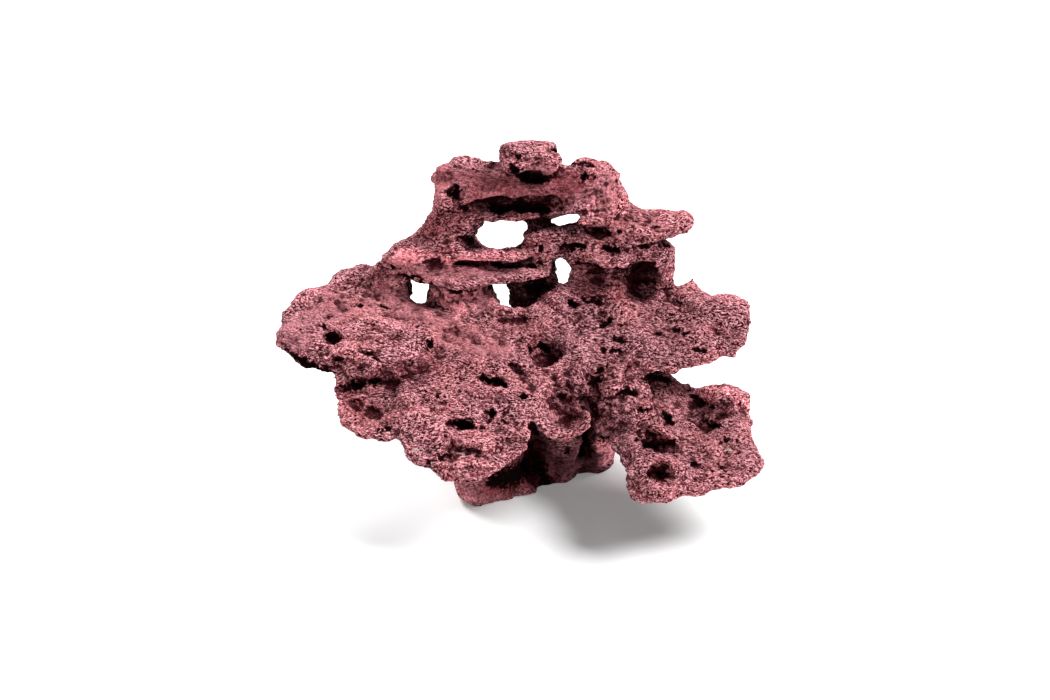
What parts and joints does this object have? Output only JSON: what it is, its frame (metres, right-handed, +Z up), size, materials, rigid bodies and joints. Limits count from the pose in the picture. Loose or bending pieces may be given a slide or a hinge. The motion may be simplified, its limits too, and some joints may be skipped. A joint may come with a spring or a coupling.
{
  "type": "dry reef rock",
  "caption": "Porous reef rock with broad ragged shelves round a central trunk and an arch with a knob on top. It stands on a flat broken foot.",
  "frame": {"origin": "bottom centre of the bounding box, on the surface the rock stands on", "axes": "+X along the widest spread of the shelves, +Y to the back, +Z up"},
  "size_m": [0.3586, 0.219, 0.254],
  "materials": {
    "rock": "dry crusty coralline surface, matt, salmon pink to mauve with maroon pores"
  },
  "bodies": {
    "root": {"reef_rock": "rock"}
  },
  "joints": []
}
